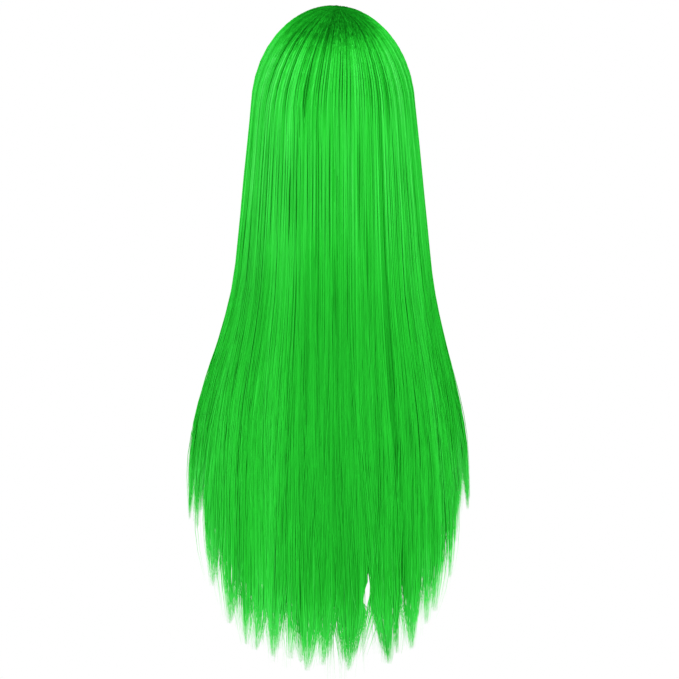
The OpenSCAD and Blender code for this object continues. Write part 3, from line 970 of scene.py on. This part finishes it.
def tab_seam(side, inset, off):
    """Running stitches round an ear tab, inset from its outline."""
    tip = np.array([0, TAB_TIP_R - TAB_H])
    bend = np.radians(np.linspace(-15, -165, 12))
    round_end = tip + (TAB_TIP_R - inset) * np.stack([np.cos(bend), np.sin(bend)], -1)
    start = np.array([[TAB_W / 2 - inset * 1.2, -0.001]])
    outline = np.concatenate([start, round_end, start * (-1, 1)])
    run = np.concatenate([[0], np.linalg.norm(np.diff(outline, axis=0), axis=1).cumsum()])
    steps = np.arange(0, run[-1], 0.0022)
    across, up = (np.interp(steps, run, outline[:, k]) for k in range(2))
    along = np.array([math.sin(TAB_TURN), math.cos(TAB_TURN), 0])
    normal = np.array([math.cos(TAB_TURN), -math.sin(TAB_TURN), 0])
    points = TAB_PLACE + across[:, None] * along + up[:, None] * (0, 0, 1) + off * normal
    normals = np.tile(normal if off > 0 else -normal, (len(points), 1))
    return stitches(points * (side, 1, 1), normals * (side, 1, 1), 0.6)


def slab(name, outer, inner):
    """A closed sheet between two grids of points."""
    rows, cols = outer.shape[:2]
    at = np.arange(rows * cols).reshape(rows, cols)
    top = np.stack([at[:-1, :-1], at[:-1, 1:], at[1:, 1:], at[1:, :-1]], -1).reshape(-1, 4)
    below = rows * cols
    ring = np.concatenate([at[0], at[1:, -1], at[-1, -2::-1], at[-2:0:-1, 0]])
    after = np.roll(ring, -1)
    walls = np.stack([after, ring, ring + below, after + below], -1)
    points = np.concatenate([outer.reshape(-1, 3), inner.reshape(-1, 3)])
    return mesh_of(name, points, np.concatenate([top, top[:, ::-1] + below, walls]))


LABEL_TURN = 9                      # half of its width, in degrees round the cap
LABEL_TOP, LABEL_FOOT = -0.008, -0.028


def make_label(material):
    """The blank label, sewn along its top and curling a little off the cap below."""
    turn = np.linspace(-LABEL_TURN, LABEL_TURN, 13)[None]
    down = np.linspace(0, 1, 9)[:, None]
    theta = mix(cap_theta(LABEL_TOP), cap_theta(LABEL_FOOT), down)
    lift = SEAM - 0.0003 - 0.0018 * down**2 - 0.0003 * np.sin(np.radians(turn * 30)) * down
    outer = cap_at(turn, theta, 0) * (1 + lift / CAP[1])[..., None]
    inner = cap_at(turn, theta, 0) * (1 + (lift - 0.0003) / CAP[1])[..., None]
    label = bpy.data.objects.new("label_sheet", slab("label_sheet", outer, inner))
    bpy.context.scene.collection.objects.link(label)
    label.data.materials.append(material)
    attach(label, "cap")
    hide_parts("care_label")


def finish_nodes(material, *names):
    for name in names:
        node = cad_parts[name]
        node.data.materials.clear()
        node.data.materials.append(material)


def make_cap():
    elastic = ribbed_material("elastic_band", (0.006, 0.006, 0.007), (0.050, 0.050, 0.055), 0.0011)
    strap = ribbed_material("strap_elastic", (0.008, 0.008, 0.009), (0.060, 0.060, 0.066), 0.0008)
    tab = yarn_material("tab_felt", (0.012, 0.012, 0.013), (0.050, 0.050, 0.055))
    thread = yarn_material("thread", (0.080, 0.080, 0.088), (0.180, 0.180, 0.195))
    lace = lace_material()
    weft = weft_material()
    finish_nodes(elastic, "front_band", "side_band_left", "side_band_right", "nape_band")
    finish_nodes(
        lace, "ribbon_front", "ribbon_back", "ribbon_back_left", "ribbon_back_right",
        "ribbon_side_left", "ribbon_side_right",
    )
    finish_nodes(weft, "crown_weft", *[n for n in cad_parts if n.startswith("weft_")])
    patch = yarn_material("patch_knit", (0.004, 0.090, 0.008), (0.012, 0.280, 0.020))
    finish_nodes(patch, "crown_patch")
    for side in ("left", "right"):
        finish_nodes(tab, f"ear_tab_{side}")
        finish_nodes(plastic_material(), f"ear_stay_{side}")
        finish_nodes(strap, f"strap_{side}", f"strap_channel_{side}")
        finish_nodes(pile_material("hook_tape", 900, 0.5), f"strap_tab_{side}")
        finish_nodes(pile_material("loop_pile", 2200, 1.0), f"loop_pad_{side}")
    make_net()
    make_seams(thread)
    make_label(label_material())
    for side, sign in (("left", 1), ("right", -1)):
        rows = [tab_seam(sign, 0.0022, TAB_T + 0.0001), tab_seam(sign, 0.0022, -0.0001)]
        seam = add_piece(f"ear_tab_seam_{side}", rows, thread)
        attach(seam, f"ear_tab_{side}")


set_view()
make_camera()
make_stage()
make_cap()
make_hair()
